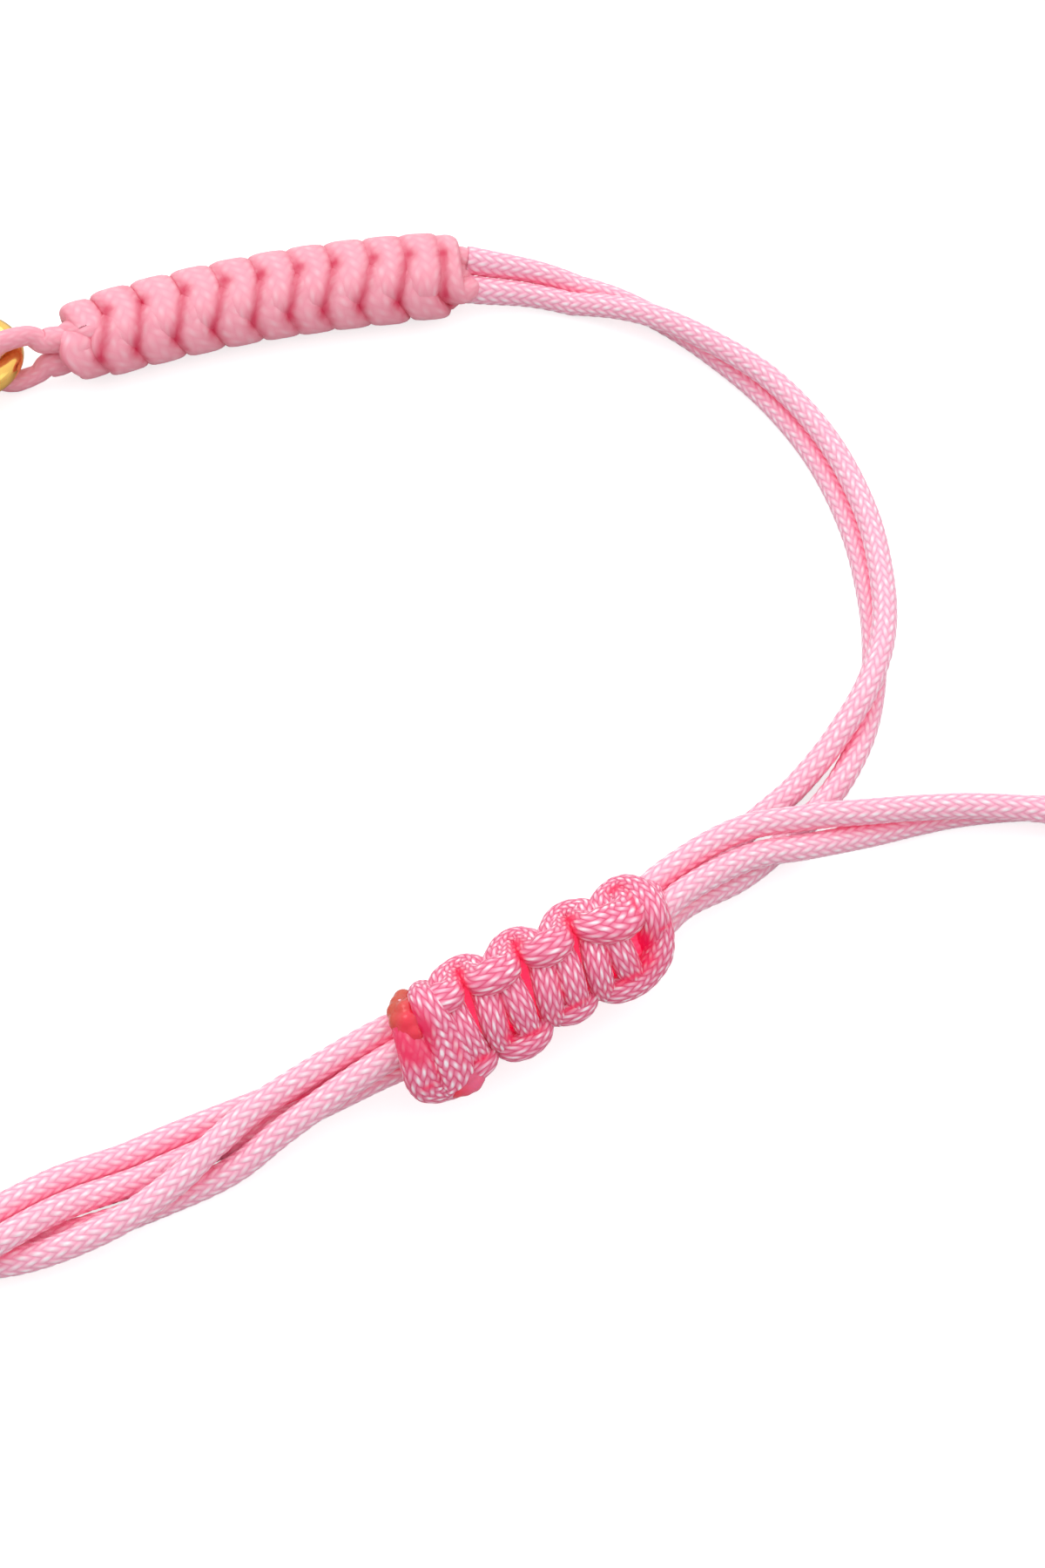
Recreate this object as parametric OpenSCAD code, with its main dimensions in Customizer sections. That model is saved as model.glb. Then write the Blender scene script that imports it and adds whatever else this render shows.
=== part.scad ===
// Adjustable bracelet of braided cord, lying open on a flat surface.
// Each half is one cord folded through a metal ring, tied in a row of snake knots and led on as two
// strands. The four strands pass through one sliding knot and end as two pairs of tails.
// The origin is the middle of the wrist opening on the surface, +Z points up, sizes are millimetres.

/* [Cord] */
// Diameter of the braided cord
cord_d = 1.1; // [1.0:0.05:1.15]

/* [Ring] */
// Outer diameter of the metal ring
ring_od = 5.2; // [4.8:0.1:5.6]
// Diameter of the ring's wire
wire_d = 1.1; // [0.9:0.05:1.15]

/* [Knotted band] */
// Number of snake knots in each band
band_knots = 11; // [9:1:12]
// Width of the band at its fullest
band_w = 4.4; // [4.0:0.1:4.6]
// Height of the band at its fullest
band_h = 3.4; // [3.0:0.1:3.6]

/* [Sliding knot] */
// Length of the sliding knot along its strands
knot_l = 12.6; // [11:0.1:13]
// Number of half knots along the sliding knot
knot_turns = 11; // [9:2:13]
// Width and height of the sliding knot
knot_w = 4.4; // [4.2:0.1:4.6]

/* [Hidden] */

cord_r = cord_d / 2;
cord_sides = 8;
// Play between two pieces that touch
play = 0.05;

// The ring lies level on the lower strand of each fold
ring_at = [-14.85, 20.1];
wire_orbit = (ring_od - wire_d) / 2;
ring_z = cord_d + wire_d / 2 + play;

// Where the two folds sit round the ring, the directions that they point in, and a fold's length
fold_right_place = -3;
fold_right_angle = 16;
fold_left_place = 250;
fold_left_angle = 243;
fold_l = 1.95;
fold_rings = 7;

// Knotted bands: mid lines as start, middle and end points, how far the bumps swell, and how much of
// the full size is left at an end
band_right = [[-10.9, 20.6], [-1.4, 24.0], [8.6, 25.5]];
band_left = [[-16.4, 16.4], [-20.0, 6.95], [-22.2, -3.0]];
band_sides = 16;
rings_per_knot = 4;
bump = 0.06;
band_z = band_h / 2 * (1 - bump);
neck = 0.62;

// The sliding knot's middle, its direction and the spacing of the strands in it
knot_at = [11.65, -14.2];
knot_angle = 30;
knot_z = knot_w / 2;
strand_half = cord_r + play / 2;
knot_exit = knot_l / 2 + 0.5;

// The strands run straight this far from the middle, and then bend aside to both ends, and up as well
// to the right-hand one
knot_straight = 3.8;
bend_aside = 0.95;
bend_up = 0.2;
left_aside = 0.3;

// Place on the sliding knot's mid line, and aside of it to the left of the way to its right-hand end
function knot_point(s, aside = 0) =
    knot_at + s * [cos(knot_angle), sin(knot_angle)] + aside * [-sin(knot_angle), cos(knot_angle)];

// Routes of the two pairs of strands, from the knotted band to the tails' ends.
// Columns: x, y, lift of the pair off the surface, half the spacing of the two strands, and the turn
// of the pair in degrees. At 0 the first strand lies to the left of the way it runs, at 90 on top.
lower_lift = knot_z - strand_half - cord_r;
upper_lift = knot_z + strand_half - cord_r;
right_pair = [
    [8.7, 25.5, 0.65, 0.68, 215], [11.8, 25.5, 0.2, 0.60, 200], [14.6, 24.8, 0, 0.58, 165],
    [17.2, 23.4, 0, 0.56, 130], [19.7, 21.45, 0, 0.56, 105], [22.5, 18.6, 0, 0.56, 76],
    [24.7, 15.0, 0, 0.56, 62], [26.1, 10.8, 0, 0.56, 58], [26.6, 6.8, 0, 0.56, 64],
    [26.5, 3.6, 0, 0.56, 77], [25.8, 0.6, 0, 0.56, 108], [24.6, -1.9, 0, 0.57, 150],
    [23.1, -4.0, 0, 0.70, 178], [21.2, -6.0, 0, 0.78, 180], [19.5, -7.9, 0.4, 0.68, 180],
    [each knot_point(knot_exit, bend_aside), lower_lift + bend_up, strand_half, 180],
    [each knot_point(knot_straight), lower_lift, strand_half, 180],
    [each knot_point(-knot_straight), lower_lift, strand_half, 180],
    [each knot_point(-knot_exit, left_aside), lower_lift, strand_half, 180],
    [2.4, -18.7, 0.35, 0.56, 180], [-0.8, -19.95, 0, 0.56, 180], [-4.0, -21.5, 0, 0.58, 180],
    [-6.6, -23.0, 0.8, 0.58, 180], [-8.8, -24.8, 1.6, 0.58, 180], [-11.6, -26.8, 1.6, 0.58, 180],
    [-14.8, -28.6, 0.8, 0.58, 180], [-18.2, -30.4, 0, 0.56, 180]];
left_pair = [
    [-22.3, -3.2, 0.7, 0.70, 150], [-23.2, -7.6, 0.3, 0.62, 170], [-23.2, -12.6, 0, 0.56, 180],
    [-21.6, -16.8, 0, 0.56, 180], [-18.9, -20.4, 0, 0.56, 180], [-15.4, -23.3, 0, 0.56, 180],
    [-11.8, -24.9, 0, 0.56, 170], [-8.4, -25.3, 0, 0.56, 150], [-4.8, -24.2, 0, 0.56, 125],
    [-2.2, -22.7, 0, 0.58, 88], [-0.4, -21.3, 0.25, 0.66, 42], [1.6, -19.75, 1.1, 0.68, 12],
    [each knot_point(-knot_exit, left_aside), upper_lift, strand_half, 0],
    [each knot_point(-knot_straight), upper_lift, strand_half, 0],
    [each knot_point(knot_straight), upper_lift, strand_half, 0],
    [each knot_point(knot_exit, bend_aside), upper_lift + bend_up, strand_half, 0],
    [20.0, -7.8, 1.8, 0.60, 22], [22.6, -6.9, 1.2, 0.60, 35], [25.4, -6.0, 0.4, 0.56, 66],
    [28.0, -5.3, 0, 0.56, 95], [30.6, -5.0, 0, 0.56, 115], [33.4, -5.0, 0, 0.56, 135],
    [37.0, -5.4, 0, 0.56, 175]];

// Middle of a pair, its left-hand direction, and one strand's route; side is 1 for the first strand
function row_xy(row) = [row[0], row[1]];
function pair_left(rows, i) =
    let (
        before = row_xy(rows[max(i - 1, 0)]),
        after = row_xy(rows[min(i + 1, len(rows) - 1)]),
        way = (after - before) / norm(after - before)
    )
    [-way[1], way[0], 0];
function strand(rows, side) = [for (i = [0:len(rows) - 1])
    let (
        row = rows[i],
        offset = pair_left(rows, i) * cos(row[4]) + [0, 0, sin(row[4])],
        middle = [row[0], row[1], cord_r + row[2] + row[3] * abs(sin(row[4]))]
    )
    middle + side * row[3] * offset];

// A closed skin over a stack of rings, each a list of the same number of points that run clockwise
// seen from the last ring
module skin(rings) {
    n = len(rings[0]);
    last = len(rings) - 1;
    points = [for (ring = rings) each ring];
    walls = [for (i = [0:last - 1], j = [0:n - 1])
        let (k = (j + 1) % n, a = i * n, b = (i + 1) * n)
        each [[a + j, a + k, b + k], [a + j, b + k, b + j]]];
    first_cap = [for (j = [1:n - 2]) [0, j + 1, j]];
    last_cap = [for (j = [1:n - 2]) [last * n, last * n + j, last * n + j + 1]];
    polyhedron(points, concat(walls, first_cap, last_cap), convexity = 10);
}

// A round tube along a route; up is a direction that the route never takes
function unit(v) = v / norm(v);
function route_way(route, i) =
    unit(route[min(i + 1, len(route) - 1)] - route[max(i - 1, 0)]);
module tube(route, up = [0, 0, 1]) {
    skin([for (i = [0:len(route) - 1])
        let (
            way = route_way(route, i),
            level = unit(cross(way, up)),
            upright = cross(level, way)
        )
        [for (j = [0:cord_sides - 1])
            let (a = 360 * (j + 0.5) / cord_sides)
            route[i] + cord_r * (level * cos(a) + upright * sin(a))]]);
}

// Point and direction at the fraction t of a curve through three points
function curve_point(p, t) =
    p[0] * (1 - t) * (1 - 2 * t) + p[1] * 4 * t * (1 - t) + p[2] * t * (2 * t - 1);
function curve_way(p, t) =
    unit(p[0] * (4 * t - 3) + p[1] * (4 - 8 * t) + p[2] * (4 * t - 1));

module ring() {
    color("gold")
        translate([ring_at[0], ring_at[1], ring_z])
            rotate_extrude($fn = 96)
                translate([wire_orbit, 0])
                    circle(d = wire_d, $fn = 32);
}

// The fold: in along the surface under the wire, up inside the ring, and back over the wire
module ring_loop(place, angle) {
    turn_r = (wire_d + cord_d) / 2 + play;
    under = 0.35;
    over = 0.1;
    end_skew = 0.2;
    closing = 0.18;
    strand_apart = cord_r + play / 2;
    reach = [
        [fold_l, -end_skew, band_z - strand_apart],
        [0.77 * fold_l, -end_skew, band_z - strand_apart - 0.03],
        [fold_l / 2, -under, ring_z - turn_r + closing]];
    turn = [for (i = [0:fold_rings - 1])
        let (f = i / (fold_rings - 1), a = -90 - 180 * f)
        [turn_r * cos(a), (under + over) * f - under, ring_z + turn_r * sin(a)]];
    back = [
        [fold_l / 2, 0.28, ring_z + turn_r - closing],
        [0.77 * fold_l, end_skew, band_z + strand_apart + 0.05],
        [fold_l, end_skew, band_z + strand_apart]];
    color("pink")
        translate([ring_at[0] + wire_orbit * cos(place), ring_at[1] + wire_orbit * sin(place), 0])
            rotate([0, 0, angle])
                tube(concat(reach, turn, back), up = [0, 1, 0]);
}

// A row of snake knots: bumps on both sides, half a knot apart
module knotted_band(mid) {
    steps = band_knots * rings_per_knot;
    color("lightpink")
        skin([for (i = [0:steps])
            let (
                t = i / steps,
                middle = curve_point(mid, t),
                way = curve_way(mid, t),
                right = [way[1], -way[0], 0],
                near_end = min(i, steps - i) / rings_per_knot,
                full = neck + (1 - neck) * min(1, near_end)
            )
            [for (j = [0:band_sides - 1])
                let (
                    a = 360 * j / band_sides,
                    swell = full * (1 - bump - bump * cos(360 * i / rings_per_knot) * cos(a))
                )
                [middle[0], middle[1], band_z]
                    + right * (band_w / 2 * swell * cos(a))
                    + [0, 0, band_h / 2 * swell * sin(a)]]]);
}

// Square with round corners, built from straight and round pieces
module rounded_square(width, corner) {
    inner = width - 2 * corner;
    square([width, inner], center = true);
    square([inner, width], center = true);
    for (x = [-1, 1], y = [-1, 1])
        translate([x * inner / 2, y * inner / 2])
            circle(r = corner, $fn = 32);
}

// Places its children at the sliding knot's middle, with +X along its strands
module at_knot() {
    translate([knot_at[0], knot_at[1], knot_z])
        rotate([0, 0, knot_angle])
            children();
}

// The square passage for the four strands, which follows their bend
module passage(width) {
    slice = 0.01;
    cube([2 * knot_straight, width, width], center = true);
    for (bend = [[1, bend_aside, bend_up], [-1, left_aside, 0]])
        hull() {
            translate([bend[0] * knot_straight, 0, 0])
                cube([slice, width, width], center = true);
            translate([bend[0] * knot_exit, bend[1], bend[2]])
                cube([slice, width, width], center = true);
        }
}

// The sliding knot: half knots that lean to one side and the other by turns, round the passage
module sliding_knot() {
    pitch = knot_l / knot_turns;
    lean = 0.12;
    groove = 0.35;
    core_l = knot_l - 0.2;
    core_corner = 1.1;
    turn_l = 0.8 * pitch;
    turn_corner = 1.3;
    color("hotpink")
        at_knot()
            difference() {
                rotate([90, 0, 90]) {
                    translate([0, 0, -core_l / 2])
                        linear_extrude(core_l)
                            rounded_square(knot_w - 2 * groove, core_corner);
                    for (i = [0:knot_turns - 1])
                        translate([(i % 2 == 0 ? lean : -lean), 0, (i - knot_turns / 2) * pitch])
                            linear_extrude(turn_l)
                                rounded_square(knot_w - 2 * lean, turn_corner);
                }
                passage(2 * (strand_half + cord_r) + play);
            }
}

// The sealed ends: one lump fused to the knot's end face, outside the strands that come out there
module sealed_end() {
    lump_r = 0.5;
    across = [1.9, 1.75, -0.2];
    above = [0.55, 1.65, 1.75];
    color("tomato")
        at_knot()
            difference() {
                for (i = [0:1])
                    hull()
                        for (k = [i, i + 1])
                            translate([-knot_l / 2 - lump_r / 2, across[k], above[k]])
                                sphere(r = lump_r, $fn = 20);
                translate([-knot_l / 2, -knot_w / 2, -knot_w / 2])
                    cube([knot_l, knot_w, 2 * knot_w]);
            }
}

module cord_right_outer() { color("pink") tube(strand(right_pair, 1)); }
module cord_right_inner() { color("pink") tube(strand(right_pair, -1)); }
module cord_left_outer() { color("pink") tube(strand(left_pair, 1)); }
module cord_left_inner() { color("pink") tube(strand(left_pair, -1)); }

ring();
ring_loop(fold_right_place, fold_right_angle);  // ring_loop_right
ring_loop(fold_left_place, fold_left_angle);  // ring_loop_left
knotted_band(band_right);  // knotted_band_right
knotted_band(band_left);  // knotted_band_left
cord_right_outer();
cord_right_inner();
cord_left_outer();
cord_left_inner();
sliding_knot();
sealed_end();
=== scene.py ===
import math

import bmesh
import bpy
import numpy as np
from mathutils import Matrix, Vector
from mathutils.kdtree import KDTree


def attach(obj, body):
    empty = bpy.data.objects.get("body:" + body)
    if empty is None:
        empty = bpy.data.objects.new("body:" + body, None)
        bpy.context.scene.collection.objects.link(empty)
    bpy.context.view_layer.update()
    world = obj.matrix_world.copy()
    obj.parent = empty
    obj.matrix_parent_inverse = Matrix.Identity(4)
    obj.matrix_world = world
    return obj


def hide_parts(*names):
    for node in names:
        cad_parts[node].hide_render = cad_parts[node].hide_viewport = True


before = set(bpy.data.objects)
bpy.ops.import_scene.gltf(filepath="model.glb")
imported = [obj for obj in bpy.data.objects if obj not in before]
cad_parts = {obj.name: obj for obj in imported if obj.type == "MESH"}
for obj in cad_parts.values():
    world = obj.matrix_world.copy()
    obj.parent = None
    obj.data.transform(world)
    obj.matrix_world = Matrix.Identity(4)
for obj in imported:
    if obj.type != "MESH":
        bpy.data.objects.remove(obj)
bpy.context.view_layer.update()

# All routes are laid out in millimetres, from the middle of the wrist opening, and made in metres.
MM = 0.001
UP = np.array([0.0, 0.0, 1.0])

# The braided cord: its size, and its yarns, twelve winding each way, one turn in each lay
CORD_D = 1.1
CORD_R = CORD_D / 2
PLAY = 0.05
YARNS = 12
LAY = 6.75
YARN_DEPTH = 0.06
# The tying cord's yarns are finer
KNOT_YARNS = 16
KNOT_LAY = 7.2

# Where the camera stands and what it looks at
EYE = np.array([11.0, -73.656, 100.907])
TARGET = np.array([11.0, -3.0, 0.0])

# The ring and the folds of cord through it
RING_AT = (-14.85, 20.1)
RING_OD = 5.2
WIRE_D = 1.1
FOLD_L = 1.95
FOLD_RIGHT = (-3, 16)
FOLD_LEFT = (250, 243)

# The knotted bands: mid lines as start, middle and end points, and the half width and height that the
# cord's own middle keeps round them
BAND_RIGHT = ((-10.9, 20.6), (-1.4, 24.0), (8.6, 25.5))
BAND_LEFT = ((-16.4, 16.4), (-20.0, 6.95), (-22.2, -3.0))
BAND_L = 20.3
BAND_Z = 1.6
LOOP_OUT = 1.8
LOOP_UP = 1.2

# The sliding knot
KNOT_AT = (11.65, -14.2)
KNOT_ANGLE = math.radians(30)
KNOT_Z = 2.2
KNOT_L = 12.6
KNOT_WAY = np.array([math.cos(KNOT_ANGLE), math.sin(KNOT_ANGLE), 0])
KNOT_FAR = np.array([-math.sin(KNOT_ANGLE), math.cos(KNOT_ANGLE), 0])
STRAND_HALF = CORD_R + PLAY / 2
KNOT_EXIT = KNOT_L / 2 + 0.5
# The line from which the tying cord's places are counted
KNOT_FACE_AT = np.array([11.5, -13.6, 2.2])
LOWER_LIFT = KNOT_Z - STRAND_HALF - CORD_R
UPPER_LIFT = KNOT_Z + STRAND_HALF - CORD_R


def through_knot(lift, turn):
    """Rows of a pair inside the sliding knot, from its bent right-hand end to its left-hand end."""
    places = [(KNOT_EXIT, 0.95, 0.2)] + [(s, 0, 0) for s in (3.8, 1.27, -1.27, -3.8)]
    return [(*(KNOT_AT + s * KNOT_WAY[:2] + aside * KNOT_FAR[:2]), lift + up, STRAND_HALF, turn)
            for s, aside, up in places + [(-KNOT_EXIT, 0.3, 0)]]


# Routes of the two pairs of strands, from the knotted band to the tails' ends.
# Columns: x, y, lift of the pair off the surface, half the spacing of the two strands, and the turn
# of the pair in degrees. At 0 the first strand lies to the left of the way it runs, at 90 on top.
RIGHT_PAIR = [
    (8.7, 25.5, 0.65, 0.68, 215), (11.8, 25.5, 0.2, 0.60, 200), (14.6, 24.8, 0, 0.58, 165),
    (17.2, 23.4, 0, 0.56, 130), (19.7, 21.45, 0, 0.56, 105), (22.5, 18.6, 0, 0.56, 76),
    (24.7, 15.0, 0, 0.56, 62), (26.1, 10.8, 0, 0.56, 58), (26.6, 6.8, 0, 0.56, 64),
    (26.5, 3.6, 0, 0.56, 77), (25.8, 0.6, 0, 0.56, 108), (24.6, -1.9, 0, 0.57, 150),
    (23.1, -4.0, 0, 0.70, 178), (21.2, -6.0, 0, 0.78, 180), (19.5, -7.9, 0.4, 0.68, 180),
    *through_knot(LOWER_LIFT, 180),
    (2.4, -18.7, 0.35, 0.56, 180), (-0.8, -19.95, 0, 0.56, 180), (-4.0, -21.5, 0, 0.58, 180),
    (-6.6, -23.0, 0.8, 0.58, 180), (-8.8, -24.8, 1.6, 0.58, 180), (-11.6, -26.8, 1.6, 0.58, 180),
    (-14.8, -28.6, 0.8, 0.58, 180), (-18.2, -30.4, 0, 0.56, 180)]
LEFT_PAIR = [
    (-22.3, -3.2, 0.7, 0.70, 150), (-23.2, -7.6, 0.3, 0.62, 170), (-23.2, -12.6, 0, 0.56, 180),
    (-21.6, -16.8, 0, 0.56, 180), (-18.9, -20.4, 0, 0.56, 180), (-15.4, -23.3, 0, 0.56, 180),
    (-11.8, -24.9, 0, 0.56, 170), (-8.4, -25.3, 0, 0.56, 150), (-4.8, -24.2, 0, 0.56, 125),
    (-2.2, -22.7, 0, 0.58, 88), (-0.4, -21.3, 0.25, 0.66, 42), (1.6, -19.75, 1.1, 0.68, 12),
    *through_knot(UPPER_LIFT, 0)[::-1],
    (20.0, -7.8, 1.8, 0.60, 22), (22.6, -6.9, 1.2, 0.60, 35), (25.4, -6.0, 0.4, 0.56, 66),
    (28.0, -5.3, 0, 0.56, 95), (30.6, -5.0, 0, 0.56, 115), (33.4, -5.0, 0, 0.56, 135),
    (37.0, -5.4, 0, 0.56, 175)]

# One loop of the band's cord on the near side and one on the far side: how far ahead of the loop's
# place, the angle from the band's top to that side, the part of the full reach, and the width
NEAR_LOOP = (
    (0.5, -34, 0.50, 1.0), (0.28, -13, 0.90, 1.25), (0.1, 4, 1.0, 1.6), (0.0, 20, 1.0, 1.78),
    (0.16, 41, 1.0, 1.8), (0.52, 70, 1.0, 1.8), (0.72, 98, 1.0, 1.8), (0.84, 135, 1.0, 1.78),
    (0.9, 175, 1.0, 1.75), (0.95, 206, 0.92, 1.4), (1.1, 228, 0.6, 1.1), (1.6, 265, 0.4, 1.0))
FAR_LOOP = (
    (0.1, -42, 0.60, 1.0), (0.02, -27, 0.95, 1.15), (0.04, -10, 1.04, 1.4), (0.03, 8, 1.03, 1.65),
    (0.0, 31, 1.0, 1.78), (-0.08, 60, 1.0, 1.8), (-0.13, 85, 1.0, 1.8), (-0.12, 110, 1.0, 1.8),
    (0.0, 149, 1.0, 1.78), (0.12, 178, 1.0, 1.75), (0.3, 206, 0.92, 1.4), (0.5, 228, 0.6, 1.1),
    (1.2, 265, 0.4, 1.0))
NEAR_PLACES = (0.85, 2.42, 4.32, 6.27, 8.22, 10.12, 11.87, 13.62, 15.47, 17.47)
FAR_PLACES = (1.8, 3.5, 5.4, 7.3, 9.15, 11.0, 12.75, 14.55, 16.3, 17.95)
# Where the slits between the loops lie deepest and their painted shade darkest: on the far side and on the
# near side
FAR_SPOTS = (2.75, 4.45, 6.55, 8.5, 10.25, 12.05, 13.8, 15.65, 17.3, 18.95)
NEAR_SPOTS = (1.7, 3.5, 5.5, 7.4, 9.4, 11.2, 12.9, 14.7, 16.6, 18.9)

# The tying cord's route, as distance along the knot from its left-hand end, height across its face,
# distance towards the viewer, and width. It runs up and down across the front first.
LEGS = [
    (0.95, 1.05, 1.3, 1.0), (0.85, 0.6, 1.8, 1.15), (0.75, 0.0, 2.05, 1.25), (0.65, -0.6, 2.15, 1.3),
    (0.5, -1.3, 2.0, 1.35), (0.38, -1.85, 1.6, 1.35), (0.5, -2.25, 1.15, 1.3), (0.95, -2.5, 1.0, 1.3),
    (1.4, -2.5, 1.25, 1.35), (1.65, -2.1, 1.7, 1.4), (1.75, -1.4, 2.1, 1.45), (1.8, -0.6, 2.4, 1.35),
    (1.8, 0.2, 2.65, 1.2), (1.78, 0.75, 2.45, 1.1), (1.75, 1.03, 1.85, 1.0), (1.77, 1.13, 1.1, 1.0),
    (1.85, 1.08, 0.3, 1.0), (2.05, 0.75, -0.7, 1.0), (2.25, 0.0, -1.35, 1.0), (2.35, -1.1, -1.3, 1.0),
    (2.45, -1.95, -0.4, 1.0), (2.6, -2.1, 0.7, 1.0), (2.66, -1.75, 1.55, 1.1), (2.62, -1.1, 2.15, 1.1),
    (2.6, -0.4, 2.2, 1.1), (2.58, 0.4, 1.78, 1.1), (2.62, 0.95, 1.4, 1.05), (2.75, 1.2, 1.05, 1.05),
    (3.1, 1.32, 0.7, 1.0), (3.5, 1.37, 0.6, 1.0), (3.87, 1.3, 0.7, 1.0), (4.12, 1.1, 1.1, 1.05),
    (4.18, 0.9, 1.45, 1.1), (4.16, 0.4, 1.78, 1.1), (4.05, -0.4, 2.2, 1.08), (3.88, -1.1, 2.15, 1.02),
    (3.8, -1.7, 1.55, 0.95), (4.0, -1.95, 0.95, 0.95), (4.45, -2.0, 0.6, 1.0), (4.9, -2.0, 0.95, 1.0),
    (5.0, -1.8, 1.6, 0.95), (5.07, -1.1, 2.2, 1.08), (5.06, -0.4, 2.25, 1.12), (5.04, 0.4, 1.78, 1.12),
    (5.07, 0.9, 1.45, 1.1), (5.2, 1.1, 1.1, 1.05), (5.55, 1.35, 0.7, 1.0), (5.92, 1.42, 0.6, 1.0),
    (6.28, 1.35, 0.7, 1.0), (6.62, 1.08, 1.1, 1.05), (6.72, 0.88, 1.45, 1.1), (6.76, 0.4, 1.78, 1.14),
    (6.56, -0.4, 2.2, 1.08), (6.35, -1.1, 2.15, 1.04), (6.2, -1.7, 1.55, 1.0), (6.4, -1.9, 0.95, 1.0),
    (6.8, -1.95, 0.6, 1.0), (7.1, -1.9, 0.95, 1.0), (7.25, -1.75, 1.6, 0.98), (7.4, -1.1, 2.2, 1.04),
    (7.5, -0.4, 2.25, 1.08), (7.5, 0.4, 1.78, 1.1), (7.5, 0.88, 1.45, 1.1), (7.64, 1.08, 1.1, 1.05),
    (7.98, 1.36, 0.7, 1.0), (8.34, 1.45, 0.6, 1.0), (8.74, 1.4, 0.7, 1.0), (9.17, 1.2, 1.05, 1.05),
    (9.17, 0.95, 1.4, 1.1), (9.06, 0.4, 1.78, 1.1), (8.82, -0.4, 2.2, 1.06), (8.6, -1.1, 2.15, 1.02),
    (8.5, -1.7, 1.55, 1.0), (8.7, -1.95, 0.95, 1.0), (9.15, -1.95, 0.6, 1.0),
    (9.6, -1.9, 0.95, 1.0), (9.75, -1.75, 1.6, 1.0), (9.76, -1.1, 2.2, 1.06),
    (9.76, -0.4, 2.25, 1.1), (9.82, 0.4, 1.78, 1.12), (9.9, 0.95, 1.4, 1.1), (10.05, 1.2, 1.05, 1.0),
    (10.5, 1.38, 0.7, 1.0), (10.95, 1.42, 0.65, 1.0), (11.35, 1.25, 1.0, 1.05), (11.58, 0.9, 1.5, 1.1),
    (11.66, 0.4, 1.95, 1.15), (11.6, -0.15, 2.2, 1.1), (11.35, -0.6, 1.95, 1.0),
    (11.05, -0.9, 1.35, 0.95)]
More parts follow.
